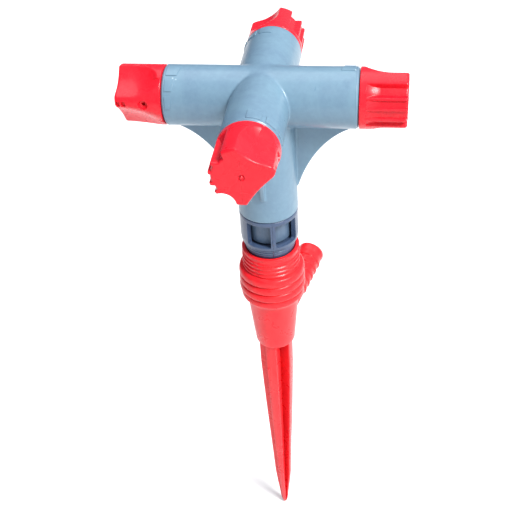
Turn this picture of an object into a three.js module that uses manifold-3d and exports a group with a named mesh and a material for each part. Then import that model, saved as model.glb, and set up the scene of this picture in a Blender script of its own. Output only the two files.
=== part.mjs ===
// Four-arm rotary lawn sprinkler on a ground spike.
// Millimetres, +Z up. The origin is on the spin axis at soil level, just under the cone.

import * as THREE from 'three';
import * as BufferGeometryUtils from 'three/addons/utils/BufferGeometryUtils.js';
import Module from 'manifold-3d';

const wasm = await Module();
wasm.setup();

// ---- driving dimensions ----------------------------------------------------------------------

const ARM_R = 15; // outside radius of an arm, the unit that the other proportions follow
const ARM_BORE_R = 12.4;
const ARM_CHAMFER = 0.9; // on an arm's end
const AXIS_H = 169; // height of the arms' axes above soil level
const ARM_END = 47.6; // arm end, from the spin axis
const GAP = 0.3; // running or seating gap between neighbours
const ROUND = 36; // segments of a large round surface
const SMALL_ROUND = 20; // segments of a small round surface

const BARREL_R = 16.1;
const BARREL_BORE_R = 11;
const BARREL_BOTTOM = 102.2;
const SKIRT_R = 14.2; // recess for the lower washer, inside the barrel's skirt
const WEB_THICKNESS = 2.2;

const CAP_START = ARM_END + GAP;
const CAP_END = 71.1; // end face of a spray cap, from the spin axis
const CAP_BORE_R = 9.2;
const CAP_BORE_DEPTH = 8; // depth of the bore, from the cap's inner face

const SPINDLE_R = 8;
const SPINDLE_BORE_R = 5.5;
const BEARING_BORE_R = 8.3;
const COLLAR_BOTTOM = 118; // bearing collar inside the barrel
const COLLAR_TOP = 124;

const CAGE_TOP = 101.8;
const WINDOW_TOP = 99.5;
const WINDOW_BOTTOM = 84.8;
const WINDOW_ANGLE = 50.4; // degrees
const FRONT_POST = 14.8; // degrees from the front arm towards the right arm
const WINDOW_MIDDLES = [30.2, 149.8, 210.2, 329.8]; // degrees round from the front post
const CAGE_SHELL_R = 13.3; // inside of the cage's wall
const PLUG_R = 12.5; // the cage's plug, inside the socket
const PLUG_BOTTOM = 66;

const SOCKET_TOP = 76.6;
const SOCKET_BORE_R = 12.9;
const SHOULDER = 60; // seat of the gasket inside the socket
const WELL_R = 6.5; // water well under the shoulder
const WELL_BOTTOM = 12;
const THREAD_R = 16.3;
const THREAD_PITCH = 2.85;
const THREAD_TURNS = 4;
const GRIP_RADII = [18.7, 18.8, 18.9, 18.2]; // from the top ring down
const GRIP_TOP = 62.7;
const GRIP_PITCH = 5.4;

const STUB_START = 16; // height where the hose stub's axis leaves the spin axis
const STUB_AZIMUTH = 18.5; // degrees from the back arm towards the right arm
const STUB_RISE = 12; // degrees above level
const STUB_LENGTH = 57.8;
const STUB_R = 8.6;
const STUB_BORE_R = 5.6;
const STUB_RIBS = 5;

const CONE_BOTTOM = 4.4;
const BLADE_TOP = 10; // the blades reach this far up into the cone
const BLADE_TURN = -14; // degrees, from the arms' planes at rest
const TIP = -165;

// ---- helpers -----------------------------------------------------------------------------------

const radians = THREE.MathUtils.degToRad;

function toSolid(geometry) {
  const bare = geometry.clone();
  bare.deleteAttribute('normal');
  bare.deleteAttribute('uv');
  const merged = BufferGeometryUtils.mergeVertices(bare, 1e-4);
  return new wasm.Manifold(new wasm.Mesh({
    numProp: 3,
    vertProperties: new Float32Array(merged.attributes.position.array),
    triVerts: new Uint32Array(merged.index.array),
  }));
}

function toGeometry(solid) {
  const mesh = solid.getMesh();
  const geometry = new THREE.BufferGeometry();
  geometry.setAttribute('position', new THREE.BufferAttribute(new Float32Array(mesh.vertProperties), 3));
  geometry.setIndex(new THREE.BufferAttribute(new Uint32Array(mesh.triVerts), 1));
  geometry.computeVertexNormals();
  return geometry;
}

function join(...geometries) {
  return toGeometry(geometries.map(toSolid).reduce((sum, solid) => sum.add(solid)));
}

function cut(geometry, ...tools) {
  return toGeometry(tools.map(toSolid).reduce((rest, tool) => rest.subtract(tool), toSolid(geometry)));
}

// A solid of revolution about +Z from [radius, height] points, closed on itself or on the axis.
function turned(points, segments = ROUND) {
  const profile = points.map(([r, z]) => new THREE.Vector2(r, z));
  const signedArea = THREE.ShapeUtils.area(profile);
  if (signedArea < 0) {
    profile.reverse();
  }
  if (points.every(([r]) => r > 0)) {
    profile.push(profile[0].clone());
  }
  return new THREE.LatheGeometry(profile, segments).rotateX(Math.PI / 2);
}

// A plain ring or, with no inner radius, a disc.
function ring(inner, outer, bottom, top, segments = ROUND) {
  if (inner === 0) {
    return turned([[0, bottom], [outer, bottom], [outer, top], [0, top]], segments);
  }
  return turned([[inner, bottom], [outer, bottom], [outer, top], [inner, top]], segments);
}

// A rod along +X with its axis at the arms' height.
function armRod(radius, from, to, segments = ROUND) {
  return ring(0, radius, from, to, segments).rotateY(Math.PI / 2).translate(0, 0, AXIS_H);
}

function outline(points) {
  return new THREE.Shape(points.map(([x, y]) => new THREE.Vector2(x, y)));
}

// A plate of the given outline in X and Z, centred on Y = 0.
function plateXZ(points, thickness) {
  const geometry = new THREE.ExtrudeGeometry(outline(points), { depth: thickness, bevelEnabled: false });
  return geometry.rotateX(Math.PI / 2).translate(0, thickness / 2, 0);
}

const colours = {
  arms: { color: 0x8fb0c4, roughness: 0.38, metalness: 0 },
  cage: { color: 0x3f4d70, roughness: 0.4, metalness: 0 },
  core: { color: 0x7f9bb0, roughness: 0.45, metalness: 0 },
  red: { color: 0xee303c, roughness: 0.35, metalness: 0 },
  rubber: { color: 0x1b1b1d, roughness: 0.7, metalness: 0 },
  acetal: { color: 0xe6e6e0, roughness: 0.5, metalness: 0 },
  dark: { color: 0x2a2b30, roughness: 0.5, metalness: 0 },
  steel: { color: 0xb8bcc0, roughness: 0.3, metalness: 1 },
};

const sprinkler = new THREE.Group();

function addPiece(name, geometry, finish, turn = 0) {
  const mesh = new THREE.Mesh(geometry, new THREE.MeshStandardMaterial(colours[finish]));
  mesh.name = name;
  mesh.rotation.z = turn;
  sprinkler.add(mesh);
}

// ---- spike base: socket, hose stub, cone and blades in one moulding -----------------------------

// Rings of the given crest radii from the top down, as profile points from the bottom up. The lowest root
// is left out, for the shape underneath to run into.
function ringProfile(top, pitch, crests, depth) {
  const points = crests.flatMap((crest, index) => {
    const z = top - index * pitch;
    return [[crest, z - pitch * 0.2], [crest - depth, z - pitch * 0.8]];
  });
  return points.reverse().slice(1);
}

function spikeBlade() {
  const half = [[9.8, BLADE_TOP], [9.8, -17.7], [8.3, -55], [6.6, -96], [5.3, -130], [4.2, -142], [2.6, -154]];
  const left = half.map(([x, z]) => [-x, z]).reverse();
  const side = plateXZ([...half, [0.8, TIP + 0.4], [0, TIP], [-0.8, TIP + 0.4], ...left], 20);
  const halfThick = [[3.5, BLADE_TOP], [3.5, -18], [3.3, -45], [2.9, -75], [2.3, -105], [1.9, -130], [1.5, -154]];
  const thickLeft = halfThick.map(([x, z]) => [-x, z]).reverse();
  const edge = plateXZ([...halfThick, [0.9, TIP - 1], [-0.9, TIP - 1], ...thickLeft], 30).rotateZ(Math.PI / 2);
  return toGeometry(toSolid(side).intersect(toSolid(edge))).rotateZ(radians(BLADE_TURN));
}

function stubPlaced(geometry) {
  return geometry
    .rotateX(-Math.PI / 2 + radians(STUB_RISE))
    .rotateZ(-radians(STUB_AZIMUTH))
    .translate(0, 0, STUB_START);
}

function hoseStub() {
  const points = [[0, 0], [STUB_R - 0.6, 0]];
  const ribPitch = 4.6;
  for (let rib = STUB_RIBS; rib > 0; rib -= 1) {
    const z = STUB_LENGTH - 2 - rib * ribPitch;
    points.push([STUB_R - 0.6, z], [STUB_R, z + 0.6], [STUB_R - 0.6, z + ribPitch - 0.6]);
  }
  points.push([STUB_R, STUB_LENGTH - 1], [STUB_R - 0.6, STUB_LENGTH], [0, STUB_LENGTH]);
  return stubPlaced(turned(points, SMALL_ROUND));
}

function spikeBase() {
  const body = turned([
    [0, CONE_BOTTOM],
    [11.7, CONE_BOTTOM],
    [12.1, 8.6],
    [12.9, 17],
    [13.95, 29.3],
    [14.7, 38],
    [16.2, 41],
    ...ringProfile(GRIP_TOP, GRIP_PITCH, GRIP_RADII, 1.2),
    [THREAD_R - 0.7, GRIP_TOP + 0.8],
    ...ringProfile(SOCKET_TOP, THREAD_PITCH, new Array(THREAD_TURNS).fill(THREAD_R), 0.7),
    [THREAD_R - 0.3, SOCKET_TOP],
    [0, SOCKET_TOP],
  ]);
  const blade = spikeBlade();
  const stubBore = stubPlaced(ring(0, STUB_BORE_R, 0, STUB_LENGTH + 1, SMALL_ROUND));
  return cut(
    join(body, blade, blade.clone().rotateZ(Math.PI / 2), hoseStub()),
    ring(0, SOCKET_BORE_R, SHOULDER, SOCKET_TOP + 1, SMALL_ROUND),
    ring(0, WELL_R, WELL_BOTTOM, SHOULDER + 1, SMALL_ROUND),
    stubBore,
  );
}

addPiece('spike_base', spikeBase(), 'red');

// ---- swivel: cage, core, spindle and its seals ---------------------------------------------------

function swivelCage() {
  const shell = turned([
    [BEARING_BORE_R, PLUG_BOTTOM],
    [PLUG_R, PLUG_BOTTOM],
    [PLUG_R, SOCKET_TOP + GAP],
    [13.8, SOCKET_TOP + GAP],
    [14.1, 78.6],
    [14.8, 80.8],
    [15.7, 83.2],
    [16.1, 87.1],
    [16.0, CAGE_TOP],
    [BEARING_BORE_R, CAGE_TOP],
    [BEARING_BORE_R, WINDOW_TOP],
    [CAGE_SHELL_R, WINDOW_TOP],
    [CAGE_SHELL_R, WINDOW_BOTTOM],
    [BEARING_BORE_R, WINDOW_BOTTOM],
  ]);
  const half = radians(WINDOW_ANGLE / 2);
  const windows = WINDOW_MIDDLES.map((fromPost) => {
    const middle = radians(FRONT_POST - 90 + fromPost);
    const reach = BARREL_R / Math.cos(half) + 2;
    const wedge = outline([
      [0, 0],
      [reach * Math.cos(middle - half), reach * Math.sin(middle - half)],
      [reach * Math.cos(middle + half), reach * Math.sin(middle + half)],
    ]);
    const depth = WINDOW_TOP - WINDOW_BOTTOM - 0.8;
    const wedgeSolid = new THREE.ExtrudeGeometry(wedge, { depth, bevelEnabled: false });
    wedgeSolid.translate(0, 0, WINDOW_BOTTOM + 0.4);
    return cut(wedgeSolid, ring(0, CAGE_SHELL_R - 1, 0, CAGE_TOP, SMALL_ROUND));
  });
  return cut(shell, ...windows);
}

addPiece('swivel_cage', swivelCage(), 'cage');

const CORE_R = 11.7;
addPiece('swivel_core', ring(BEARING_BORE_R, CORE_R, WINDOW_BOTTOM + GAP, WINDOW_TOP - GAP), 'core');

const FLANGE_R = 12;
const FLANGE_TOP = PLUG_BOTTOM - GAP;
const FLANGE_BOTTOM = 63;
const SPINDLE_TOP = 131;
const CLIP_GROOVE_R = 7.2;
const CLIP_BOTTOM = 125.9;
const CLIP_TOP = 127.3;
addPiece('spindle', turned([
  [SPINDLE_BORE_R, FLANGE_BOTTOM],
  [FLANGE_R, FLANGE_BOTTOM],
  [FLANGE_R, FLANGE_TOP],
  [SPINDLE_R, FLANGE_TOP],
  [SPINDLE_R, CLIP_BOTTOM - GAP],
  [CLIP_GROOVE_R, CLIP_BOTTOM - GAP],
  [CLIP_GROOVE_R, CLIP_TOP + GAP],
  [SPINDLE_R, CLIP_TOP + GAP],
  [SPINDLE_R, SPINDLE_TOP - 1],
  [SPINDLE_R - 1, SPINDLE_TOP],
  [SPINDLE_BORE_R, SPINDLE_TOP],
], SMALL_ROUND), 'acetal');

addPiece('inlet_gasket', ring(7, 12, SHOULDER + GAP, FLANGE_BOTTOM - GAP, SMALL_ROUND), 'rubber');

const WASHER = 0.9;
addPiece('lower_washer', ring(BEARING_BORE_R + 0.2, SKIRT_R - GAP, CAGE_TOP + GAP, CAGE_TOP + GAP + WASHER), 'dark');
addPiece('upper_washer', ring(
  BEARING_BORE_R, BARREL_BORE_R - 0.6, COLLAR_TOP + GAP, COLLAR_TOP + GAP + WASHER, SMALL_ROUND,
), 'dark');

// The clip is an open ring, so that it can be pushed into the spindle's groove.
function openClip() {
  const clip = ring(CLIP_GROOVE_R + GAP, 10.2, CLIP_BOTTOM, CLIP_TOP, SMALL_ROUND);
  return cut(clip, new THREE.BoxGeometry(12, 7, 10).translate(9, 0, (CLIP_BOTTOM + CLIP_TOP) / 2));
}

addPiece('spindle_clip', openClip(), 'steel');

// An O-ring of round section about +Z.
function sealRing(meanRadius, cordRadius, height, segments = SMALL_ROUND) {
  const points = [];
  for (let step = 0; step < 6; step += 1) {
    const angle = (step / 6) * 2 * Math.PI;
    points.push([meanRadius + cordRadius * Math.cos(angle), height + cordRadius * Math.sin(angle)]);
  }
  return turned(points, segments);
}

addPiece('spindle_seal', sealRing(9.5, 1.1, COLLAR_BOTTOM - 1.6), 'rubber');

// ---- rotor: four arms, barrel, webs and setting pads --------------------------------------------

// The web's free edge sweeps from the underside of the arm down to the barrel.
function webOutline() {
  const edge = new THREE.CubicBezierCurve(
    new THREE.Vector2(45, AXIS_H - ARM_R - 1.5),
    new THREE.Vector2(35.5, AXIS_H - ARM_R - 5),
    new THREE.Vector2(23.5, AXIS_H - ARM_R - 15),
    new THREE.Vector2(16.9, 117.6),
  ).getPoints(9).map(({ x, y }) => [x, y]);
  const half = [[45.5, AXIS_H - 10], ...edge, [16.5, 116.5], [15.6, 116.1], [8, 116.1]];
  return [...half, ...half.map(([x, z]) => [-x, z]).reverse()];
}

// The raised pads on an arm's end taper round the arm like a scale. Each runs between two clock angles, and
// its inner edge lies at one place along the arm at the first angle and at another one at the second.
const PAD_OUTER = 45.8;
const SETTING_PADS = [
  { angles: [-3, 24], inner: [38.8, 40.3] },
  { angles: [32, 55.5], inner: [41, 42.2] },
  { angles: [64.4, 89], inner: [42.5, 43] },
];

function settingPad({ angles, inner }) {
  const { lerp } = THREE.MathUtils;
  const pad = new THREE.BoxGeometry(1, 1, 1, 1, 4, 1).translate(0.5, 0.5, 0.5);
  const corners = pad.attributes.position;
  for (let index = 0; index < corners.count; index += 1) {
    const share = corners.getY(index);
    const angle = radians(lerp(angles[0], angles[1], share));
    const along = lerp(lerp(...inner, share), PAD_OUTER, corners.getX(index));
    const radius = ARM_R - 0.6 + corners.getZ(index);
    corners.setXYZ(index, along, radius * Math.sin(angle), AXIS_H + radius * Math.cos(angle));
  }
  return pad;
}

function rotorBody() {
  const barrel = ring(0, BARREL_R, BARREL_BOTTOM, AXIS_H);
  const arm = turned([
    [0, -ARM_END],
    [ARM_R - ARM_CHAMFER, -ARM_END],
    [ARM_R, -ARM_END + ARM_CHAMFER],
    [ARM_R, ARM_END - ARM_CHAMFER],
    [ARM_R - ARM_CHAMFER, ARM_END],
    [0, ARM_END],
  ]).rotateY(Math.PI / 2).translate(0, 0, AXIS_H);
  const web = plateXZ(webOutline(), WEB_THICKNESS);
  const quarter = Math.PI / 2;
  const pads = [];
  for (let index = 0; index < 4; index += 1) {
    SETTING_PADS.forEach((pad) => pads.push(settingPad(pad).rotateZ(index * quarter)));
  }
  const bore = armRod(ARM_BORE_R, -ARM_END - 1, ARM_END + 1);
  const hollow = cut(
    join(barrel, arm, arm.clone().rotateZ(quarter), web, web.clone().rotateZ(quarter), ...pads),
    bore,
    bore.clone().rotateZ(quarter),
    ring(0, BARREL_BORE_R, BARREL_BOTTOM - 1, AXIS_H),
    ring(0, SKIRT_R, BARREL_BOTTOM - 1, CAGE_TOP + WASHER + 2 * GAP),
  );
  return join(hollow, ring(BEARING_BORE_R, BARREL_BORE_R + 0.5, COLLAR_BOTTOM, COLLAR_TOP));
}

addPiece('rotor_body', rotorBody(), 'arms');

// ---- spray caps with their spigots and seals ------------------------------------------------------

// The spigot closes the arm's end and carries the cap on a short hollow pin.
const SPIGOT_BODY_R = 12.1;
const SPIGOT_PIN_R = 8.9;
const SPIGOT_BORE_R = 5;
const SPIGOT_PIN_END = CAP_BORE_DEPTH + ARM_END - 0.4;

function capSpigot() {
  return turned([
    [SPIGOT_BORE_R, ARM_END - 9],
    [SPIGOT_BODY_R, ARM_END - 9],
    [SPIGOT_BODY_R, ARM_END],
    [SPIGOT_PIN_R, ARM_END],
    [SPIGOT_PIN_R, SPIGOT_PIN_END - 3.4],
    [SPIGOT_PIN_R - 1.9, SPIGOT_PIN_END - 3.4],
    [SPIGOT_PIN_R - 1.9, SPIGOT_PIN_END - 1],
    [SPIGOT_PIN_R, SPIGOT_PIN_END - 1],
    [SPIGOT_PIN_R, SPIGOT_PIN_END],
    [SPIGOT_BORE_R, SPIGOT_PIN_END],
  ], SMALL_ROUND).rotateY(Math.PI / 2).translate(0, 0, AXIS_H);
}

function capSeal() {
  return sealRing(SPIGOT_PIN_R - 0.8, 0.8, SPIGOT_PIN_END - 2.2).rotateY(Math.PI / 2).translate(0, 0, AXIS_H);
}

// A point at a clock angle about the arm's axis, seen from beyond the arm's end.
function clockPoint(angle, radius) {
  return [radius * Math.sin(radians(angle)), radius * Math.cos(radians(angle))];
}

// A round-ended cutter along the arm: its centre line lies at a clock angle and a radius, and its round
// end is centred at the start.
function scoop({ angle, axisRadius, cutterRadius, start, quarterFacets }) {
  const points = [];
  for (let step = 0; step <= quarterFacets; step += 1) {
    const tilt = (step / quarterFacets) * (Math.PI / 2);
    points.push([cutterRadius * Math.sin(tilt), start - cutterRadius * Math.cos(tilt)]);
  }
  points.push([cutterRadius, CAP_END + 2], [0, CAP_END + 2]);
  const [y, z] = clockPoint(angle, axisRadius);
  return turned(points, 4 * quarterFacets).rotateY(Math.PI / 2).translate(0, y, AXIS_H + z);
}

const SCOOPS = [
  { angle: 28.8, axisRadius: 25.3, cutterRadius: 15.5, start: 61.8, quarterFacets: 5 },
  { angle: 129.7, axisRadius: 73.75, cutterRadius: 64, start: 73, quarterFacets: 18 },
  { angle: 212, axisRadius: 18.55, cutterRadius: 6.8, start: 60.5, quarterFacets: 4 },
];

// A flute with a floor that ramps down and then runs level to the end face.
function flute(angle, width, floorRadius) {
  const halfWidth = ARM_R * Math.sin(radians(width / 2));
  const start = CAP_START + 3.4;
  const profile = outline([
    [start, ARM_R - 0.6],
    [start + 6, floorRadius],
    [CAP_END + 1, floorRadius],
    [CAP_END + 1, ARM_R + 2],
    [start, ARM_R + 2],
  ]);
  const tool = new THREE.ExtrudeGeometry(profile, { depth: 2 * halfWidth, bevelEnabled: false });
  return tool.rotateX(Math.PI / 2).translate(0, halfWidth, 0).rotateX(-radians(angle)).translate(0, 0, AXIS_H);
}

const FLUTES = [
  [244.5, 15, 13.1],
  [266.3, 19, 13.7],
  [288, 15, 13.9],
  [312.5, 26, 12.3],
];

function sprayCap() {
  const body = turned([
    [0, CAP_START],
    [ARM_R - 0.5, CAP_START],
    [ARM_R, CAP_START + 0.7],
    [ARM_R, CAP_END - 1],
    [ARM_R - 0.9, CAP_END],
    [0, CAP_END],
  ]).rotateY(Math.PI / 2).translate(0, 0, AXIS_H);
  return cut(
    body,
    ...SCOOPS.map(scoop),
    ...FLUTES.map((values) => flute(...values)),
    armRod(CAP_BORE_R, 0, CAP_START + CAP_BORE_DEPTH, SMALL_ROUND),
  );
}

const ARM_NAMES = ['right', 'back', 'left', 'front'];
ARM_NAMES.forEach((armName, index) => {
  const turn = index * (Math.PI / 2);
  addPiece(`cap_spigot_${armName}`, capSpigot(), 'acetal', turn);
  addPiece(`cap_seal_${armName}`, capSeal(), 'rubber', turn);
  addPiece(`spray_cap_${armName}`, sprayCap(), 'red', turn);
});

export default sprinkler;
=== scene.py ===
"""Four-arm rotary lawn sprinkler: the looks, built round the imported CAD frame. Lengths in this file's
helpers are millimetres in the row frame, and MM turns them into Blender's metres."""

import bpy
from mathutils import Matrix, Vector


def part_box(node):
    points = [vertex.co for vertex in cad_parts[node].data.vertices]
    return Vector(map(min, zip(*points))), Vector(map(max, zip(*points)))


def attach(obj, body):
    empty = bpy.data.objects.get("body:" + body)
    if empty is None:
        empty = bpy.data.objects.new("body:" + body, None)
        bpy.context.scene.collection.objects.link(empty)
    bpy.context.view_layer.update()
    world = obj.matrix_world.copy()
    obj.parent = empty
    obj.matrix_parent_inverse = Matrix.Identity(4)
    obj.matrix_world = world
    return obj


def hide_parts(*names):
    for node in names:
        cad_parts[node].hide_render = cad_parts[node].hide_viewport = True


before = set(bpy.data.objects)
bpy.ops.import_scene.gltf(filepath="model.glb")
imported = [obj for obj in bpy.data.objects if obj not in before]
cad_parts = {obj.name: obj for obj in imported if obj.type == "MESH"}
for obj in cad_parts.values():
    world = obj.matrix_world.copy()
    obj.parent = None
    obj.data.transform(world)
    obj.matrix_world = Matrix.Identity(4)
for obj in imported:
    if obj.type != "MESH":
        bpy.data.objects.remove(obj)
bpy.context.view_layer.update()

import math

import bmesh
import bpy
import numpy as np
from mathutils import Matrix, Vector

MM = 0.001


# ---- sizes read from the frame -------------------------------------------------------------------

def box_mm(node):
    low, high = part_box(node)
    return np.array(low) / MM, np.array(high) / MM


cap_low, cap_high = box_mm("spray_cap_right")
rotor_low, rotor_high = box_mm("rotor_body")
cage_low, cage_high = box_mm("swivel_cage")
base_low, base_high = box_mm("spike_base")

ARM_R = (cap_high[1] - cap_low[1]) / 2  # outside radius of an arm and of a cap
AXIS_H = (cap_high[2] + cap_low[2]) / 2  # height of the arms' axes
CAP_START = cap_low[0]
CAP_END = cap_high[0]
ARM_END = rotor_high[0]
BARREL_BOTTOM = rotor_low[2]
BARREL_R = ARM_R + 1.1
CAGE_TOP = cage_high[2]
SOCKET_TOP = base_high[2]
TIP = base_low[2]

ARM_BORE_R = 12.4
BARREL_BORE_R = 11.0
SKIRT_R = 14.2
SPINDLE_HOLE_R = 8.3
WEB_HALF = 1.1


# ---- mesh helpers --------------------------------------------------------------------------------

def new_object(name, vertices, faces, smooth_angle=35):
    """A mesh object from millimetre vertices, smooth except at edges sharper than the angle."""
    mesh = bpy.data.meshes.new(name)
    mesh.from_pydata([tuple(v) for v in np.asarray(vertices) * MM], [], [tuple(f) for f in faces])
    mesh.validate()
    obj = bpy.data.objects.new(name, mesh)
    bpy.context.collection.objects.link(obj)
    smooth(obj, smooth_angle)
    return obj


def smooth(obj, angle):
    mesh = obj.data
    mesh.shade_smooth()
    if angle < 180:
        mesh.set_sharp_from_angle(angle=math.radians(angle))


def new_box(low, high):
    """A closed box between two corners."""
    corners = [(x, y, z) for x in (low[0], high[0]) for y in (low[1], high[1]) for z in (low[2], high[2])]
    faces = [(0, 1, 3, 2), (4, 6, 7, 5), (0, 4, 5, 1), (2, 3, 7, 6), (0, 2, 6, 4), (1, 5, 7, 3)]
    return new_object("box", corners, faces)


def rings_mesh(name, rings, closed, smooth_angle=35):
    """Joins rings of points, each (count, 3), by quads. A closed body wraps from the last ring to the
    first. An open one gets a fan at each end."""
    rings = np.asarray(rings, dtype=float)
    rows, count, _ = rings.shape
    vertices = rings.reshape(-1, 3).tolist()
    faces = []
    last = rows if closed else rows - 1
    column = np.arange(count)
    beside = (column + 1) % count
    for row in range(last):
        here = row * count
        there = ((row + 1) % rows) * count
        quads = np.stack([here + column, here + beside, there + beside, there + column], axis=1)
        faces.extend(quads.tolist())
    if not closed:
        for row, flip in ((0, True), (rows - 1, False)):
            centre = len(vertices)
            vertices.append(rings[row].mean(axis=0).tolist())
            for a, b in zip(column, beside):
                edge = (row * count + a, row * count + b)
                faces.append((centre, edge[1], edge[0]) if flip else (centre, edge[0], edge[1]))
    obj = new_object(name, np.array(vertices), faces, smooth_angle)
    outward(obj)
    return obj


def outward(obj):
    """Turns every face outward by the sign of the mesh's volume."""
    bm = bmesh.new()
    bm.from_mesh(obj.data)
    if bm.calc_volume(signed=True) < 0:
        bmesh.ops.reverse_faces(bm, faces=bm.faces)
    bm.to_mesh(obj.data)
    bm.free()


def rounded(points, radius, steps=4):
    """The closed outline with each corner replaced by an arc. A point may carry its own radius."""
    result = []
    total = len(points)
    for index in range(total):
        here = np.array(points[index][:2], dtype=float)
        before = np.array(points[index - 1][:2], dtype=float)
        after = np.array(points[(index + 1) % total][:2], dtype=float)
        wanted = points[index][2] if len(points[index]) > 2 else radius
        to_before = before - here
        to_after = after - here
        reach_before = np.linalg.norm(to_before)
        reach_after = np.linalg.norm(to_after)
        to_before /= reach_before
        to_after /= reach_after
        half = math.acos(float(np.clip(to_before @ to_after, -1, 1))) / 2
        if wanted <= 0 or half > 1.54:
            result.append(here)
            continue
        back = min(wanted / math.tan(half), 0.45 * reach_before, 0.45 * reach_after)
        size = back * math.tan(half)
        bisector = (to_before + to_after) / np.linalg.norm(to_before + to_after)
        centre = here + bisector * (size / math.sin(half))
        first = here + to_before * back - centre
        second = here + to_after * back - centre
        for step in range(steps + 1):
            blend = step / steps
            angle = math.pi - 2 * half
            a = math.sin((1 - blend) * angle) / math.sin(angle) if angle > 1e-6 else 1 - blend
            b = math.sin(blend * angle) / math.sin(angle) if angle > 1e-6 else blend
            result.append(centre + a * first + b * second)
    return np.array(result)


def turned(name, profile, segments=160, smooth_angle=35, closed=True):
    """A body of revolution about +Z from a (radius, height) outline that stays off the axis. A closed
    outline makes a ring, and an open one a solid body with a flat face at each end."""
    angle = np.linspace(0, 2 * math.pi, segments, endpoint=False)
    rings = [
        np.stack([r * np.cos(angle), r * np.sin(angle), np.full(segments, z)], axis=1) for r, z in profile
    ]
    return rings_mesh(name, rings, closed, smooth_angle)


def transformed(obj, matrix):
    obj.data.transform(matrix)
    obj.data.update()
    return obj


def boolean(obj, operation, others, smooth_angle=35):
    """Joins or cuts closed bodies, and removes the tools."""
    for other in others:
        modifier = obj.modifiers.new(operation, "BOOLEAN")
        modifier.operation = operation
        modifier.solver = "MANIFOLD"
        modifier.object = other
        bake_modifiers(obj)
        bpy.data.objects.remove(other)
    smooth(obj, smooth_angle)
    return obj


def bake_modifiers(obj):
    depsgraph = bpy.context.evaluated_depsgraph_get()
    mesh = bpy.data.meshes.new_from_object(obj.evaluated_get(depsgraph))
    obj.modifiers.clear()
    old = obj.data
    obj.data = mesh
    bpy.data.meshes.remove(old)


def merged(name, objects, smooth_angle=35):
    """One object holding several closed shells."""
    first = objects[0]
    with bpy.context.temp_override(active_object=first, selected_editable_objects=objects):
        bpy.ops.object.join()
    first.name = name
    smooth(first, smooth_angle)
    return first


def smooth_min(a, b, size):
    share = np.clip(0.5 + 0.5 * (b - a) / size, 0, 1)
    return b + (a - b) * share - size * share * (1 - share)


def arm_turn(index):
    return Matrix.Rotation(index * math.pi / 2, 4, "Z")


# ---- materials -----------------------------------------------------------------------------------

def add_node(tree, kind, inputs=None, **settings):
    node = tree.nodes.new(kind)
    for key, value in settings.items():
        setattr(node, key, value)
    for key, value in (inputs or {}).items():
        node.inputs[key].default_value = value
    return node


def ramp(tree, factor, stops):
    node = tree.nodes.new("ShaderNodeValToRGB")
    while len(node.color_ramp.elements) > len(stops):
        node.color_ramp.elements.remove(node.color_ramp.elements[-1])
    while len(node.color_ramp.elements) < len(stops):
        node.color_ramp.elements.new(1.0)
    for element, (position, colour) in zip(node.color_ramp.elements, stops):
        element.position = position
        element.color = (*colour, 1.0) if len(colour) == 3 else colour
    tree.links.new(factor, node.inputs["Fac"])
    return node.outputs["Color"]


def mixed(tree, factor, first, second, blend="MIX"):
    node = add_node(tree, "ShaderNodeMix", data_type="RGBA", blend_type=blend)
    for socket, value in ((node.inputs[0], factor), (node.inputs[6], first), (node.inputs[7], second)):
        if isinstance(value, bpy.types.NodeSocket):
            tree.links.new(value, socket)
        elif isinstance(value, (int, float)):
            socket.default_value = value
        else:
            socket.default_value = (*value, 1.0)
    return node.outputs[2]


def noise(tree, coordinates, scale, detail=4.0, roughness=0.55, distortion=0.0):
    node = add_node(tree, "ShaderNodeTexNoise", {
        "Scale": scale, "Detail": detail, "Roughness": roughness, "Distortion": distortion,
    })
    tree.links.new(coordinates, node.inputs["Vector"])
    return node.outputs["Fac"]


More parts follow.
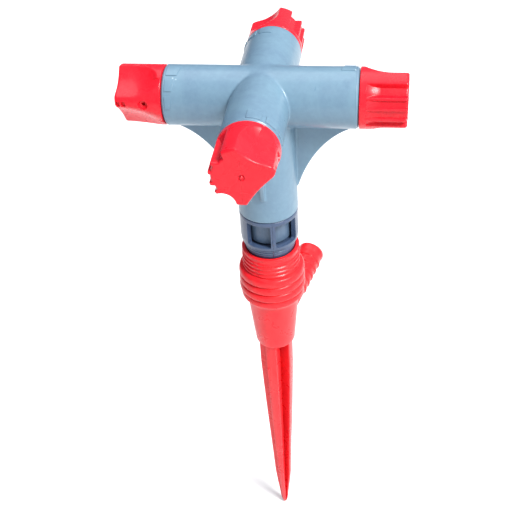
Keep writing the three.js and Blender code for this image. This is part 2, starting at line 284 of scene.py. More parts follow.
def moulded_plastic(name, light, deep, roughness, coat, grain, dust, edge_radius=0.0, subsurface=0.0,
                    specks=0.62, specular=0.4):
    """Injection-moulded plastic: flow marks in the colour, a fine moulded grain, wiping marks in the
    gloss, long faint scratches and a little dust."""
    material = bpy.data.materials.new(name)
    material.use_nodes = True
    tree = material.node_tree
    shader = tree.nodes["Principled BSDF"]
    shader.inputs["Coat Weight"].default_value = coat
    shader.inputs["Specular IOR Level"].default_value = specular
    shader.inputs["Coat Roughness"].default_value = 0.12
    shader.inputs["IOR"].default_value = 1.49
    shader.inputs["Subsurface Weight"].default_value = subsurface
    shader.inputs["Subsurface Radius"].default_value = (1.0, 0.35, 0.3)
    shader.inputs["Subsurface Scale"].default_value = 0.0018
    place = tree.nodes.new("ShaderNodeTexCoord").outputs["Object"]

    stretch = add_node(tree, "ShaderNodeMapping", {"Scale": (1.0, 1.0, 0.35)})
    tree.links.new(place, stretch.inputs["Vector"])
    flow = noise(tree, stretch.outputs["Vector"], 38, 5, 0.6, 1.2)
    colour = mixed(tree, ramp(tree, flow, [(0.32, (0, 0, 0)), (0.7, (1, 1, 1))]), deep, light)
    mottle = noise(tree, place, 420, 3, 0.6)
    colour = mixed(tree, ramp(tree, mottle, [(0.35, (0, 0, 0)), (0.75, (0.22, 0.22, 0.22))]), colour,
                   tuple(min(1.0, channel * 1.25 + 0.02) for channel in light))

    speck = add_node(tree, "ShaderNodeTexVoronoi", {"Scale": 240.0, "Randomness": 1.0})
    tree.links.new(place, speck.inputs["Vector"])
    dot = ramp(tree, speck.outputs["Distance"], [(0.0, (1, 1, 1)), (0.13, (0, 0, 0))])
    patch = ramp(tree, noise(tree, place, 60, 2), [(specks, (0, 0, 0)), (specks + 0.06, (1, 1, 1))])
    dusty = mixed(tree, 1.0, dot, patch, "MULTIPLY")
    dust_amount = mixed(tree, 1.0, dusty, (dust, dust, dust), "MULTIPLY")
    colour = mixed(tree, dust_amount, colour, (0.75, 0.86, 0.88))
    tree.links.new(colour, shader.inputs["Base Color"])

    wipe = noise(tree, place, 95, 5, 0.65, 0.8)
    low = max(0.0, roughness - 0.07)
    high = roughness + 0.09
    gloss = ramp(tree, wipe, [(0.3, (low, low, low)), (0.72, (high, high, high))])
    tree.links.new(gloss, shader.inputs["Roughness"])

    scratch_space = add_node(tree, "ShaderNodeMapping", {
        "Rotation": (0.3, 0.5, 0.7), "Scale": (1400.0, 60.0, 60.0),
    })
    tree.links.new(place, scratch_space.inputs["Vector"])
    scratch = noise(tree, scratch_space.outputs["Vector"], 1.0, 2, 0.5)
    scratch_line = ramp(tree, scratch, [(0.66, (0, 0, 0)), (0.74, (1, 1, 1))])
    fine = noise(tree, place, 2400, 2, 0.5)
    wave = noise(tree, place, 130, 2, 0.5)
    height = mixed(tree, 0.35, fine, wave)
    height = mixed(tree, 0.12, height, scratch_line)
    height = mixed(tree, 1.0, height, dusty, "ADD")
    bump = add_node(tree, "ShaderNodeBump", {"Strength": grain, "Distance": 0.00012})
    tree.links.new(height, bump.inputs["Height"])
    if edge_radius > 0:
        bevel = add_node(tree, "ShaderNodeBevel", {"Radius": edge_radius * MM}, samples=6)
        tree.links.new(bevel.outputs["Normal"], bump.inputs["Normal"])
    tree.links.new(bump.outputs["Normal"], shader.inputs["Normal"])
    return material


def turned_steel(name):
    material = bpy.data.materials.new(name)
    material.use_nodes = True
    tree = material.node_tree
    shader = tree.nodes["Principled BSDF"]
    shader.inputs["Metallic"].default_value = 1.0
    place = tree.nodes.new("ShaderNodeTexCoord").outputs["Object"]
    lines = add_node(tree, "ShaderNodeMapping", {"Scale": (900.0, 900.0, 30.0)})
    tree.links.new(place, lines.inputs["Vector"])
    grain = noise(tree, lines.outputs["Vector"], 1.0, 3)
    tree.links.new(ramp(tree, grain, [(0.3, (0.45, 0.46, 0.48)), (0.7, (0.68, 0.69, 0.7))]),
                   shader.inputs["Base Color"])
    tree.links.new(ramp(tree, grain, [(0.3, (0.22,) * 3), (0.7, (0.38,) * 3)]), shader.inputs["Roughness"])
    return material


arm_plastic = moulded_plastic("arm_plastic", (0.142, 0.242, 0.318), (0.110, 0.188, 0.268), 0.34, 0.15,
                              0.22, 0.8, edge_radius=0.35, specks=0.60)
cage_plastic = moulded_plastic("cage_plastic", (0.052, 0.086, 0.155), (0.034, 0.056, 0.115), 0.32, 0.2,
                               0.25, 0.25, edge_radius=0.2)
core_plastic = moulded_plastic("core_plastic", (0.085, 0.135, 0.205), (0.060, 0.098, 0.160), 0.42, 0.1,
                               0.3, 0.2)
cap_plastic = moulded_plastic("cap_plastic", (0.740, 0.010, 0.022), (0.620, 0.006, 0.018), 0.27, 0.12,
                              0.15, 0.06, edge_radius=0.3, subsurface=0.05, specks=0.7, specular=0.24)
spike_plastic = moulded_plastic("spike_plastic", (0.800, 0.018, 0.022), (0.680, 0.010, 0.018), 0.30, 0.12,
                                0.15, 0.06, edge_radius=0.35, subsurface=0.05, specks=0.7, specular=0.24)
bearing_plastic = moulded_plastic("bearing_plastic", (0.74, 0.74, 0.70), (0.62, 0.62, 0.58),
                                  0.4, 0.1, 0.2, 0.1)
dark_acetal = moulded_plastic("dark_acetal", (0.030, 0.032, 0.040), (0.016, 0.018, 0.024),
                              0.42, 0.1, 0.2, 0.1)
seal_rubber = moulded_plastic("seal_rubber", (0.022, 0.022, 0.024), (0.012, 0.012, 0.013),
                              0.62, 0.0, 0.5, 0.1)
clip_steel = turned_steel("clip_steel")


def finish_piece(obj, material, body, slot_name, *nodes):
    obj.data.materials.clear()
    obj.data.materials.append(material)
    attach(obj, body)
    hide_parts(*nodes)


def recolour(node, material):
    """Gives a carried-over CAD node its material."""
    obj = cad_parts[node]
    for slot_index in range(len(obj.material_slots)):
        obj.material_slots[slot_index].material = material
    if not obj.material_slots:
        obj.data.materials.append(material)


# ---- camera --------------------------------------------------------------------------------------

def place_camera():
    """Looks from the front, a little to the right and above."""
    azimuth, elevation, roll = math.radians(10.188), math.radians(39.439), math.radians(-4.080)
    position = Vector((59.68, -380.58, AXIS_H + 215.42)) * MM
    level = math.cos(elevation)
    back = Vector((math.sin(azimuth) * level, -math.cos(azimuth) * level, math.sin(elevation)))
    right = Vector((math.cos(azimuth), math.sin(azimuth), 0))
    up = back.cross(right)
    turned_right = math.cos(roll) * right + math.sin(roll) * up
    turned_up = -math.sin(roll) * right + math.cos(roll) * up
    data = bpy.data.cameras.new("camera")
    data.sensor_width = 36
    data.lens = 62.03
    data.clip_start = 0.01
    camera = bpy.data.objects.new("camera", data)
    bpy.context.collection.objects.link(camera)
    rotation = Matrix((turned_right, turned_up, back)).transposed().to_4x4()
    camera.matrix_world = Matrix.Translation(position) @ rotation
    bpy.context.scene.camera = camera
    return camera


camera = place_camera()


# ---- spray caps ----------------------------------------------------------------------------------

# Each scoop: clock angle and radius of the cutter's axis, the cutter's radius, where its round end's centre
# lies along the arm, and how soft its edges before and after that angle are. Clock angles run clockwise
# from the top, seen from beyond the arm's end.
CAP_SCOOPS = [
    (28.8, 32.3, 21.9, 63.6, 0.5, 3.0),
    (129.7, 73.75, 64.0, 73.0, 2.2, 0.6),
    (212.0, 18.55, 6.8, 60.5, 0.5, 0.5),
]
# Each flute: its two edges, its depth at the cap's end, and the edge whose wall lies level, if any.
CAP_FLUTES = [
    (237.5, 252.0, 1.9, 252.0),
    (257.0, 275.8, 1.15, None),
    (280.5, 295.2, 1.25, 280.5),
    (299.0, 326.0, 2.7, 299.0),
]
FLUTE_START = CAP_START + 3.4
FLUTE_RAMP = 6.5
STEEP = 2.6


def wrapped(angle):
    return np.arctan2(np.sin(angle), np.cos(angle))


def cap_radius(theta, along):
    """Outside radius of a cap at clock angles (radians) and a distance along the arm."""
    radius = np.full_like(theta, ARM_R)
    for angle, centre, cutter, start, soft_before, soft_after in CAP_SCOOPS:
        offset = wrapped(theta - math.radians(angle))
        reach2 = cutter ** 2 - max(0.0, start - along) ** 2
        inside = reach2 - (centre * np.sin(offset)) ** 2
        hit = (inside > 0) & (np.abs(offset) < math.pi / 2)
        scooped = centre * np.cos(offset) - np.sqrt(np.maximum(inside, 0))
        softness = np.where(offset < 0, soft_before, soft_after)
        radius = smooth_min(radius, np.where(hit, scooped, ARM_R + 4), softness)
    if along < FLUTE_START:
        return radius
    ramp_share = min((along - FLUTE_START) / FLUTE_RAMP, 1.0)
    ramp_share = ramp_share * (1.7 - 0.7 * ramp_share)
    for low, high, depth, level in CAP_FLUTES:
        floor = ARM_R - 0.4 - (depth - 0.4) * ramp_share
        below = wrapped(math.radians(low) - theta)
        above = wrapped(theta - math.radians(high))
        wall = ARM_R + STEEP * ARM_R * np.maximum(above, below)
        if level is not None:
            steep_side = above if level == low else below
            level_wall = ARM_R * abs(math.cos(math.radians(level))) / np.maximum(np.abs(np.cos(theta)), 0.02)
            near = (below < 0.3) & (above < 0.3)
            wall = np.where(near, np.maximum(ARM_R + STEEP * ARM_R * steep_side, level_wall), ARM_R + 4)
        radius = smooth_min(radius, np.maximum(floor, wall), 0.3)
    return radius


def spray_cap(name):
    """A cap on the right arm, as a body of rings from its bore to the middle of its end face."""
    count = 540
    theta = np.linspace(0, 2 * math.pi, count, endpoint=False)
    bore_r, bore_end = 9.2, CAP_START + 8.0

    def circle(radius, along):
        radius = np.broadcast_to(radius, theta.shape)
        return np.stack([
            np.full(count, along), radius * np.sin(theta), AXIS_H + radius * np.cos(theta),
        ], axis=1)

    rings = [circle(0.6, bore_end), circle(bore_r - 0.4, bore_end), circle(bore_r, bore_end - 0.4),
             circle(bore_r, CAP_START + 0.3), circle(bore_r + 0.3, CAP_START)]
    edge = 0.55
    for step in range(5):
        tilt = step / 4 * math.pi / 2
        rings.append(circle(ARM_R - edge * (1 - math.sin(tilt)), CAP_START + edge * (1 - math.cos(tilt))))
    lip = 1.15
    body = np.concatenate([
        np.arange(CAP_START + edge + 0.3, FLUTE_START - 0.05, 0.35),
        [FLUTE_START - 0.04, FLUTE_START + 0.04],
        np.arange(FLUTE_START + 0.25, CAP_END - lip, 0.27),
    ])
    rings.extend(circle(cap_radius(theta, along), along) for along in body)
    outline_r = cap_radius(theta, CAP_END - lip)
    face = CAP_END - 0.12
    for step in range(1, 7):
        tilt = step / 6 * math.pi / 2
        rings.append(circle(outline_r - lip * (1 - math.cos(tilt)), face - lip + lip * math.sin(tilt)))
    face_r = outline_r - lip
    for share in (0.96, 0.8, 0.6, 0.4, 0.22):
        rings.append(circle(face_r * share, face))
    # The gate mark in the middle of the end face: a shallow dish with a torn nub.
    for radius, depth in ((1.6, 0.0), (1.4, 0.45), (1.05, 0.55), (0.85, 0.1), (0.65, -0.1), (0.25, 0.0)):
        rings.append(circle(radius, face - depth))
    cap = rings_mesh(name, rings, False, 40)
    seam = new_box((CAP_END - 0.5, -0.13, AXIS_H - 13.6), (CAP_END - 0.03, 0.13, AXIS_H + 9.0))
    boolean(cap, "UNION", [seam], 40)

    hole_angle = math.radians(82)
    outward_dir = Vector((0, math.sin(hole_angle), math.cos(hole_angle)))
    middle = Vector((56.7, 0, AXIS_H)) + outward_dir * ARM_R
    turn = Vector((0, 0, 1)).rotation_difference(outward_dir).to_matrix().to_4x4()
    countersink = turned("hole", [(0.85, -4.2), (0.95, -1.9), (1.75, -1.7), (2.55, 0.15), (2.9, 1.5)], 48,
                         closed=False)
    transformed(countersink, Matrix.Translation(middle * MM) @ turn)
    slots = []
    for start, end in ((65.4, 67.7), (68.3, 70.2)):
        slots.append(slot_tool(start, end, math.radians(75.8), math.radians(86.6)))
    return boolean(cap, "DIFFERENCE", [countersink, *slots], 40)


def on_arm(points, radius):
    """Wraps points, as a place along the arm and an arc length on its surface, onto the given radius."""
    angle = points[:, 1] / ARM_R
    return np.stack([points[:, 0], radius * np.sin(angle), AXIS_H + radius * np.cos(angle)], axis=1)


def subdivided(outline, spacing):
    """The closed outline with more points, at about the given spacing."""
    dense = []
    for here, after in zip(outline, np.roll(outline, -1, axis=0)):
        pieces = max(1, int(np.linalg.norm(after - here) / spacing))
        dense.extend(here + (after - here) * share / pieces for share in range(pieces))
    return np.array(dense)


def slot_tool(start, end, first, last):
    """A curved block that cuts a slot between two clock angles and two places along the arm."""
    low, high = first * ARM_R, last * ARM_R
    outline = rounded([(start, low), (end, low), (end, high), (start, high)], 0.35, 3)
    rings = []
    for radius in (ARM_R - 1.7, ARM_R + 2):
        shrink = 1.0 if radius > ARM_R else 0.88
        centre = outline.mean(axis=0)
        rings.append(on_arm(centre + (outline - centre) * shrink, radius))
    return rings_mesh("slot", rings, False)


ARM_NAMES = ["right", "back", "left", "front"]


def build_caps():
    master = spray_cap("spray_cap_shape")
    for index, arm in enumerate(ARM_NAMES):
        copy = master.copy()
        copy.data = master.data.copy()
        copy.name = f"visual_cap_{arm}"
        bpy.context.collection.objects.link(copy)
        transformed(copy, arm_turn(index))
        finish_piece(copy, cap_plastic, f"cap_{arm}", "cap_plastic", f"spray_cap_{arm}")
    bpy.data.objects.remove(master)


build_caps()


# ---- rotor body ----------------------------------------------------------------------------------

WEB_EDGE = [
    (45.0, AXIS_H - ARM_R - 1.5),
    (35.5, AXIS_H - ARM_R - 5),
    (23.5, AXIS_H - ARM_R - 15),
    (16.9, 117.0),
]
ARM_CHAMFER = 0.9


def web_edge():
    """The web's free edge as heights and half-widths, from the bottom up."""
    t = np.linspace(0, 1, 40)[:, None]
    p0, p1, p2, p3 = (np.array(point) for point in WEB_EDGE)
    curve = (1 - t) ** 3 * p0 + 3 * (1 - t) ** 2 * t * p1 + 3 * (1 - t) * t ** 2 * p2 + t ** 3 * p3
    return curve[::-1, 1], curve[::-1, 0]


def rotor_distance(points):
    """Signed distance to the rotor's moulding, without its setting pads and end rings."""
    x, y, z = points[:, 0], points[:, 1], points[:, 2] - AXIS_H
    along_x, along_y = np.hypot(y, z), np.hypot(x, z)
    radial = np.hypot(x, y)
    end = ARM_END - 0.1
    arm_x = np.maximum(along_x - ARM_R, np.abs(x) - end)
    arm_x = np.maximum(arm_x, (along_x - ARM_R + np.abs(x) - ARM_END + ARM_CHAMFER + 0.12) / math.sqrt(2))
    arm_y = np.maximum(along_y - ARM_R, np.abs(y) - end)
    arm_y = np.maximum(arm_y, (along_y - ARM_R + np.abs(y) - ARM_END + ARM_CHAMFER + 0.12) / math.sqrt(2))
    barrel = np.maximum(radial - BARREL_R, BARREL_BOTTOM - points[:, 2])
    barrel = np.maximum(barrel, z - 0.5)
    heights, widths = web_edge()
    half_width = np.interp(points[:, 2], heights, widths, left=15.0)
    slope = np.interp(points[:, 2], (heights[:-1] + heights[1:]) / 2, np.diff(widths) / np.diff(heights))
    slope = np.where(points[:, 2] < heights[0], 2.5, slope)
    lean = np.sqrt(1 + slope ** 2)
    low_end = heights[0] - points[:, 2]
    web_x = -smooth_min(-(np.abs(x) - half_width) / lean, WEB_HALF - np.abs(y), 0.7)
    web_y = -smooth_min(-(np.abs(y) - half_width) / lean, WEB_HALF - np.abs(x), 0.7)
    web = np.maximum(np.minimum(web_x, web_y), np.maximum(low_end, z + ARM_R - 5))
    shell = smooth_min(arm_x, arm_y, 0.9)
    shell = smooth_min(shell, barrel, 1.4)
    shell = smooth_min(shell, web, 1.1)
    bore = np.minimum(along_x - ARM_BORE_R, along_y - ARM_BORE_R)
    barrel_bore = np.maximum(radial - BARREL_BORE_R, z)
    washer_recess = np.maximum(radial - SKIRT_R, points[:, 2] - CAGE_TOP - 1.5)
    hollow = np.minimum(np.minimum(bore, barrel_bore), washer_recess)
    collar = np.maximum(np.maximum(118 - points[:, 2], points[:, 2] - 124), radial - BARREL_BORE_R - 1)
    collar = np.maximum(collar, SPINDLE_HOLE_R - radial)
    return np.minimum(np.maximum(shell, -hollow), collar)


def settle(points, distance, passes=7, limit=0.6):
    """Moves points along the distance's gradient until they lie on its surface."""
    start = points.copy()
    step = 0.02
    for _ in range(passes):
        value = distance(points)
        gradient = np.stack([
            (distance(points + offset) - distance(points - offset)) / (2 * step)
            for offset in np.eye(3) * step
        ], axis=1)
        size2 = np.maximum((gradient ** 2).sum(axis=1), 0.05)
        points = points - gradient * (np.clip(value, -0.3, 0.3) / size2)[:, None]
    moved = points - start
    length = np.linalg.norm(moved, axis=1)
    scale = np.where(length > limit, limit / np.maximum(length, 1e-9), 1.0)
    return start + moved * scale[:, None]


def remeshed(name, node, voxel, distance):
    """A fine, even mesh of a CAD node, laid on an exact smooth surface."""
    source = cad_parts[node]
    obj = bpy.data.objects.new(name, source.data.copy())
    bpy.context.collection.objects.link(obj)
    modifier = obj.modifiers.new("remesh", "REMESH")
    modifier.mode = "VOXEL"
    modifier.voxel_size = voxel * MM
    bake_modifiers(obj)
    count = len(obj.data.vertices)
    points = np.empty(count * 3)
    obj.data.vertices.foreach_get("co", points)
    points = settle(points.reshape(-1, 3) / MM, distance)
    obj.data.vertices.foreach_set("co", (points * MM).ravel())
    obj.data.update()
    smooth(obj, 60)
    return obj


# Each setting pad: two clock angles, and how far its inner edge lies back from the arm's end at each.
SETTING_PADS = [
    (-3, 24, 8.8, 7.3),
    (32, 55.5, 6.6, 5.4),
    (64.4, 89, 5.1, 4.6),
]
PAD_OUTER = ARM_END - 1.8


def setting_pad(first, last, back_first, back_last):
    """A raised pad wrapped round the right arm's end."""
    height = 0.4
    outline = rounded([
        (ARM_END - back_first, math.radians(first) * ARM_R),
        (PAD_OUTER, math.radians(first) * ARM_R),
        (PAD_OUTER, math.radians(last) * ARM_R),
        (ARM_END - back_last, math.radians(last) * ARM_R),
    ], 0.3, 3)
    dense = subdivided(outline, 0.5)
    centre = dense.mean(axis=0)
    direction = (dense - centre) / np.linalg.norm(dense - centre, axis=1)[:, None]
    rings = []
    for radius, inset in ((ARM_R - 0.5, 0.0), (ARM_R + height - 0.15, 0.0), (ARM_R + height - 0.04, 0.05),
                          (ARM_R + height, 0.16)):
        rings.append(on_arm(dense - direction * inset, radius))
    spans = 14
    shares = [step / spans for step in range(1, spans)]
    top = [on_arm(centre + (dense - centre) * (1 - share), ARM_R + height) for share in shares]
    under = [on_arm(centre + (dense - centre) * share, ARM_R - 0.5) for share in shares]
    return rings_mesh("pad", under + rings + top, False)


def end_ring():
    """The crisp chamfered rim of an arm's end."""
    profile = rounded([
        (ARM_BORE_R, ARM_END - 1.4),
        (ARM_R + 0.03, ARM_END - 1.4, 0),
        (ARM_R + 0.03, ARM_END - ARM_CHAMFER, 0.25),
        (ARM_R - ARM_CHAMFER + 0.03, ARM_END, 0.2),
        (ARM_BORE_R, ARM_END),
    ], 0.1, 3)
    ring = turned("end_ring", profile, 160)
    return transformed(ring, Matrix.Translation((0, 0, AXIS_H * MM)) @ Matrix.Rotation(math.pi / 2, 4, "Y"))


def build_rotor():
    body = remeshed("visual_rotor", "rotor_body", 0.5, rotor_distance)
    details = []
    for index in range(4):
        for pad in SETTING_PADS:
            details.append(transformed(setting_pad(*pad), arm_turn(index)))
        details.append(transformed(end_ring(), arm_turn(index)))
    trim = merged("visual_rotor_trim", details)
    finish_piece(body, arm_plastic, "rotor", "arm_plastic", "rotor_body")
    finish_piece(trim, arm_plastic, "rotor", "arm_plastic", "rotor_body")


build_rotor()


# ---- swivel cage ---------------------------------------------------------------------------------

WINDOW_HALF = 25.2
FRONT_POST = 14.8
WINDOW_MIDDLES = (30.2, 149.8, 210.2, 329.8)
WINDOW_LOW = 84.8
WINDOW_HIGH = 99.5
WINDOW_ARC_R = 15.3  # radius that the windows' arc lengths are measured on
CAGE_PLUG_R = 12.4
CAGE_INSIDE_R = 13.3
CAGE_R = 16.0


def window_tool(middle, inner, outer, low, high, half):
    """A curved block that cuts a window between two heights, either way from a middle angle."""
    reach = half * WINDOW_ARC_R
    outline = rounded([(-reach, low), (reach, low), (reach, high), (-reach, high)], 0.9, 4)
    dense = subdivided(outline, 0.6)
    angle = middle + dense[:, 0] / WINDOW_ARC_R
    rings = [np.stack([r * np.cos(angle), r * np.sin(angle), dense[:, 1]], axis=1) for r in (inner, outer)]
    return rings_mesh("window", rings, False)


def build_cage():
    shell = turned("visual_cage", rounded([
        (SPINDLE_HOLE_R, cage_low[2]),
        (CAGE_PLUG_R, cage_low[2]),
        (CAGE_PLUG_R, SOCKET_TOP - 1.2),
        (13.55, SOCKET_TOP - 0.2),
        (13.55, 77.4, 0.1),
        (13.95, 77.7, 0.2),
        (13.95, 78.6, 0.2),
        (13.65, 78.9, 0.1),
        (14.3, 79.4, 0.2),
        (14.35, 80.3, 0.2),
        (14.0, 80.6, 0.1),
        (14.75, 81.1, 0.2),
        (14.8, 82.0, 0.2),
        (14.5, 82.3, 0.1),
        (15.65, 82.9, 0.25),
        (16.02, 86.8, 2.0),
        (15.8, WINDOW_HIGH - 0.4, 0.1),
        (CAGE_R, WINDOW_HIGH + 0.1, 0.15),
        (15.95, CAGE_TOP, 0.35),
        (SPINDLE_HOLE_R, CAGE_TOP),
        (SPINDLE_HOLE_R, WINDOW_HIGH),
        (CAGE_INSIDE_R, WINDOW_HIGH),
        (CAGE_INSIDE_R, WINDOW_LOW - 1.4),
        (SPINDLE_HOLE_R, WINDOW_LOW - 1.4),
    ], 0.15, 3), 192)
    tools = []
    for from_post in WINDOW_MIDDLES:
        middle = math.radians(FRONT_POST - 90 + from_post)
        tools.append(window_tool(middle, CAGE_PLUG_R, CAGE_R + 1.5, WINDOW_LOW, WINDOW_HIGH - 0.15,
                                 math.radians(WINDOW_HALF)))
    boolean(shell, "DIFFERENCE", tools, 35)

    # A mould parting seam runs down one post and the rings under it, with a blob of flash low on the post.
    seam_angle = math.radians(FRONT_POST - 90)
    seams = []
    for turn in (0.0, math.pi):
        path = [(15.95, CAGE_TOP - 0.3), (16.02, 86.8), (15.66, 82.9), (14.85, 81.5), (14.4, 79.8),
                (14.0, 78.1), (13.6, 77.3)]
        rings = []
        for radius, z in path:
            spread = [(-0.4, -0.3), (-0.15, 0.14), (0.15, 0.14), (0.4, -0.3)]
            rings.append([
                ((radius + rise) * math.cos(seam_angle + turn + side / radius),
                 (radius + rise) * math.sin(seam_angle + turn + side / radius), z)
                for side, rise in spread
            ])
        seams.append(rings_mesh("seam", rings, False))
    blob = turned("blob", [(0.25, -1.25), (0.6, -0.95), (0.8, -0.3), (0.7, 0.5), (0.4, 1.2), (0.15, 1.4)], 24,
                  closed=False)
    on_post = Vector((CAGE_R * math.cos(seam_angle), CAGE_R * math.sin(seam_angle), 88.6))
    place = Matrix.Translation(on_post * MM)
    seams.append(transformed(blob, place @ Matrix.Diagonal((1.1, 0.7, 1.3, 1.0))))
    flash = merged("visual_cage_flash", seams)
    finish_piece(shell, cage_plastic, "base", "cage_plastic", "swivel_cage")
    finish_piece(flash, cage_plastic, "base", "cage_plastic", "swivel_cage")


build_cage()


# ---- spike base: socket, grip rings, cone, blades and hose stub ----------------------------------

THREAD_TOP = SOCKET_TOP - 1.6
THREAD_PITCH = 2.85
THREAD_TURNS = 4.0
THREAD_DEPTH = 0.75
THREAD_CREST = 16.3
GRIP_TOP = 62.9
GRIP_CRESTS = ((18.7, 57.6), (18.8, 52.2), (18.9, 47.0), (18.1, 41.6))
PARTING = math.radians(-90 - 24)
BLADE_TURN = math.radians(-14.0)
CONE_BOTTOM = 4.4
# The blades' half-widths and half-thicknesses by height, from the tip up.
BLADE_WIDTHS = [(TIP, 0.5), (-164.6, 1.1), (-163.5, 1.6), (-161.5, 2.05), (-158.5, 2.4), (-154.0, 2.75),
                (-142.0, 4.1), (-130.0, 5.2), (-96.0, 6.5), (-55.0, 8.25), (-17.7, 9.6), (6.0, 9.7)]
BLADE_THICKS = [(TIP, 0.2), (-164.6, 0.6), (-161.5, 1.0), (-154.0, 1.4), (-130.0, 1.85), (-105.0, 2.25),
                (-75.0, 2.85), (-45.0, 3.25), (-18.0, 3.45)]


def bell(x):
    """A ridge over one pitch, with a narrow crest at 1 and a broad root at 0."""
    return np.clip((0.5 + 0.5 * np.cos(2 * math.pi * x)) * 1.35 - 0.2, 0, 1)


def socket_body():
    """The threaded and ringed socket down to the cone's lower rim, with its stepped bore."""
    count = 256
    angle = np.linspace(0, 2 * math.pi, count, endpoint=False)

    def circle(radius, z):
        radius = np.broadcast_to(radius, angle.shape)
        return np.stack([radius * np.cos(angle), radius * np.sin(angle), np.full(count, z)], axis=1)

    rings = [circle(6.0, 60.0), circle(12.6, 60.0), circle(12.9, 60.3),
             circle(12.9, SOCKET_TOP - 1.6), circle(14.0, SOCKET_TOP - 0.35), circle(14.3, SOCKET_TOP),
             circle(15.5, SOCKET_TOP), circle(15.95, SOCKET_TOP - 0.25), circle(16.1, SOCKET_TOP - 0.7)]
    root = THREAD_CREST - THREAD_DEPTH
    since_parting = np.mod(angle - PARTING, math.pi)
    near_parting = np.minimum(since_parting, math.pi - since_parting) * THREAD_CREST
    notch = 1 - 0.55 * np.exp(-(near_parting / 0.8) ** 2)
    for z in np.arange(SOCKET_TOP - 1.0, GRIP_TOP + 0.9, -0.16):
        phase = (THREAD_TOP - z) / THREAD_PITCH - angle / (2 * math.pi)
        fade = np.clip(phase * 2.2 + 0.6, 0, 1) * np.clip((THREAD_TURNS + 0.25 - phase) * 2.2, 0, 1)
        rings.append(circle(root + THREAD_DEPTH * bell(phase) * fade * notch, z))
    rings.append(circle(root + 0.1, GRIP_TOP + 0.6))
    rings.append(circle(root + 0.5, GRIP_TOP + 0.25))
    top = GRIP_TOP
    for crest, low in GRIP_CRESTS:
        depth = 1.6
        for step in range(17):
            share = step / 16
            lift = math.sqrt(max(0.0, 1 - ((share - 0.62) / (0.38 if share > 0.62 else 0.64)) ** 2))
            rings.append(circle(crest - depth + depth * lift, top - share * (top - low)))
        top = low - 0.12
    for radius, z in ((16.0, 41.0), (15.6, 40.3), (15.1, 39.2), (14.75, 37.8), (14.5, 35.0), (13.95, 29.3),
                      (13.4, 23.0), (12.9, 17.0), (12.1, 8.6), (11.75, CONE_BOTTOM + 0.8),
                      (11.6, CONE_BOTTOM + 0.3), (11.3, CONE_BOTTOM), (6.0, CONE_BOTTOM), (1.0, CONE_BOTTOM)):
        rings.append(circle(radius, z))
    return rings_mesh("socket", rings, False, 40)


def blade_outline(half_width, half_thick, inner, outer):
    """The cross-shaped section of the blades, with filleted roots and rounded tips."""
    points = []
    for quarter in range(4):
        turn = quarter * math.pi / 2
        cosine, sine = math.cos(turn), math.sin(turn)
        for x, y, radius in ((half_thick * 1.12, half_thick * 1.12, inner), (half_width, half_thick, outer),
                             (half_width, -half_thick, outer)):
            points.append((x * cosine - y * sine, x * sine + y * cosine, radius))
    return rounded(points, outer, 3)


def blades():
    heights = [10.0, 0.0, -17.7, -36.0, -55.0, -75.0, -96.0, -115.0, -130.0, -136.0, -142.0, -148.0, -154.0,
               -158.5, -161.5, -163.5, -164.6, TIP]
    widths = np.interp(heights, *zip(*BLADE_WIDTHS))
    thick = np.interp(heights, *zip(*BLADE_THICKS))
    rings = []
    for z, half_width, half_thick in zip(heights, widths, thick):
        section = blade_outline(half_width, min(half_thick, half_width * 0.55), min(0.9, half_thick * 0.4),
                                min(0.55, half_thick * 0.35))
        rings.append(np.column_stack([section, np.full(len(section), z)]))
    return transformed(rings_mesh("blades", rings, False, 40), Matrix.Rotation(BLADE_TURN, 4, "Z"))


STUB_START = 16.0
STUB_AZIMUTH = math.radians(18.5)
STUB_RISE = math.radians(12.0)
STUB_LENGTH = 57.8
STUB_R = 8.6
STUB_BORE_R = 5.6


def stub_matrix():
    tilt = Matrix.Rotation(-math.pi / 2 + STUB_RISE, 4, "X")
    return Matrix.Translation((0, 0, STUB_START * MM)) @ Matrix.Rotation(-STUB_AZIMUTH, 4, "Z") @ tilt


def hose_stub():
    root = STUB_R - 0.75
    profile = [(root, 0.0, 0), (root, 26.0)]
    rib_pitch = 5.1
    for rib in range(5):
        start = 28.0 + rib * rib_pitch
        profile.append((root, start, 0.1))
        profile.append((STUB_R - 0.02, start + 0.6, 0.2))
        profile.append((root, start + rib_pitch - 0.6, 0.2))
    profile.append((STUB_R - 0.35, STUB_LENGTH - 1.6, 0.5))
    profile.append((STUB_R - 0.8, STUB_LENGTH, 0.7))
    profile.append((5.0, STUB_LENGTH, 0))
    stub = turned("stub", rounded(profile, 0.5, 3), 96, closed=False)
    return transformed(stub, stub_matrix())


def build_spike():
    base = socket_body()
    nub = turned("nub", [(0.3, -1.3), (0.8, -0.9), (0.95, 0.0), (0.75, 0.8), (0.3, 1.2)], 24, closed=False)
    on_blade = Matrix.Translation(Vector((-4.3, -8.8, -17.0)) * MM)
    transformed(nub, on_blade @ Matrix.Diagonal((1.0, 0.6, 1.0, 1.0)))
    boolean(base, "UNION", [blades(), hose_stub(), nub], 35)
    bore = turned("bore", [
        (STUB_BORE_R, 1.5), (STUB_BORE_R, STUB_LENGTH - 0.8), (STUB_BORE_R + 0.7, STUB_LENGTH + 1),
    ], 64, closed=False)
    well = turned("well", [(6.5, 12.0), (6.5, 59.9), (6.9, 60.3)], 96, closed=False)
    boolean(base, "DIFFERENCE", [transformed(bore, stub_matrix()), well], 35)
    base.name = "visual_spike"
    finish_piece(base, spike_plastic, "base", "spike_plastic", "spike_base")


build_spike()


# ---- carried-over CAD nodes ----------------------------------------------------------------------

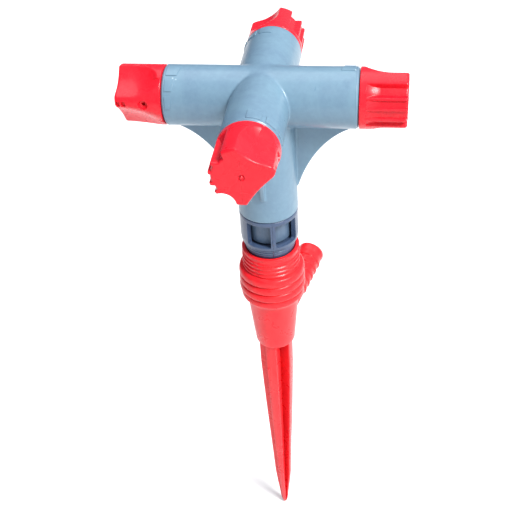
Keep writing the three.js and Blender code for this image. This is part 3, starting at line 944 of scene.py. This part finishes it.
recolour("swivel_core", core_plastic)
recolour("spindle", bearing_plastic)
recolour("inlet_gasket", seal_rubber)
recolour("spindle_seal", seal_rubber)
recolour("spindle_clip", clip_steel)
for washer in ("lower_washer", "upper_washer"):
    recolour(washer, dark_acetal)
for arm in ARM_NAMES:
    recolour(f"cap_spigot_{arm}", bearing_plastic)
    recolour(f"cap_seal_{arm}", seal_rubber)


# ---- floor and light -----------------------------------------------------------------------------

def pale_floor():
    material = bpy.data.materials.new("pale_floor")
    material.use_nodes = True
    tree = material.node_tree
    shader = tree.nodes["Principled BSDF"]
    place = tree.nodes.new("ShaderNodeTexCoord").outputs["Object"]
    tone = ramp(tree, noise(tree, place, 6, 3), [(0.3, (0.80, 0.80, 0.80)), (0.7, (0.83, 0.83, 0.83))])
    tree.links.new(tone, shader.inputs["Base Color"])
    shader.inputs["Roughness"].default_value = 0.9
    shader.inputs["Specular IOR Level"].default_value = 0.1
    half = 3000.0
    floor = new_object("floor", [(-half, -half, TIP - 0.5), (half, -half, TIP - 0.5), (half, half, TIP - 0.5),
                                 (-half, half, TIP - 0.5)], [(0, 1, 2, 3)])
    floor.data.materials.append(material)


def area_light(name, position, target, size, power, colour=(1, 1, 1)):
    data = bpy.data.lights.new(name, "AREA")
    data.shape = "RECTANGLE"
    data.size, data.size_y = size
    data.energy = power
    data.color = colour
    light = bpy.data.objects.new(name, data)
    bpy.context.collection.objects.link(light)
    light.location = position
    direction = Vector(target) - Vector(position)
    light.rotation_euler = direction.to_track_quat("-Z", "Y").to_euler()


def surroundings():
    """A bright room to the right and above, and a dark one to the left, by world direction."""
    world = bpy.data.worlds.new("world")
    bpy.context.scene.world = world
    world.use_nodes = True
    tree = world.node_tree
    direction = tree.nodes.new("ShaderNodeTexCoord").outputs["Generated"]
    toward = add_node(tree, "ShaderNodeVectorMath", operation="DOT_PRODUCT")
    toward.inputs[1].default_value = Vector((0.78, -0.25, 0.58)).normalized()
    tree.links.new(direction, toward.inputs[0])
    share = add_node(tree, "ShaderNodeMapRange", {"From Min": -1.0, "From Max": 1.0})
    tree.links.new(toward.outputs["Value"], share.inputs["Value"])
    tone = ramp(tree, share.outputs["Result"], [
        (0.15, (0.060, 0.055, 0.120)),
        (0.45, (0.26, 0.27, 0.36)),
        (0.72, (0.86, 0.92, 0.96)),
        (1.0, (1.0, 1.0, 0.97)),
    ])
    tree.links.new(tone, tree.nodes["Background"].inputs["Color"])
    tree.nodes["Background"].inputs["Strength"].default_value = 0.8


def studio():
    surroundings()
    bpy.context.scene.view_settings.view_transform = "Standard"
    middle = (0, 0, 0.1)
    sun = bpy.data.objects.new("sun", bpy.data.lights.new("sun", "SUN"))
    sun.data.energy = 3.6
    sun.data.angle = math.radians(22.0)
    sun.rotation_euler = Vector((-0.62, 0.42, -0.95)).to_track_quat("-Z", "Y").to_euler()
    bpy.context.collection.objects.link(sun)
    area_light("key", (0.62, -0.42, 1.05), middle, (0.55, 0.55), 7.0, (1.0, 0.99, 0.97))
    area_light("top", (-0.15, 0.45, 1.3), middle, (1.0, 1.0), 7.0, (0.97, 0.98, 1.0))
    area_light("front", (0.45, -1.2, 0.35), middle, (0.5, 0.7), 1.2, (0.95, 0.97, 1.0))


pale_floor()
studio()
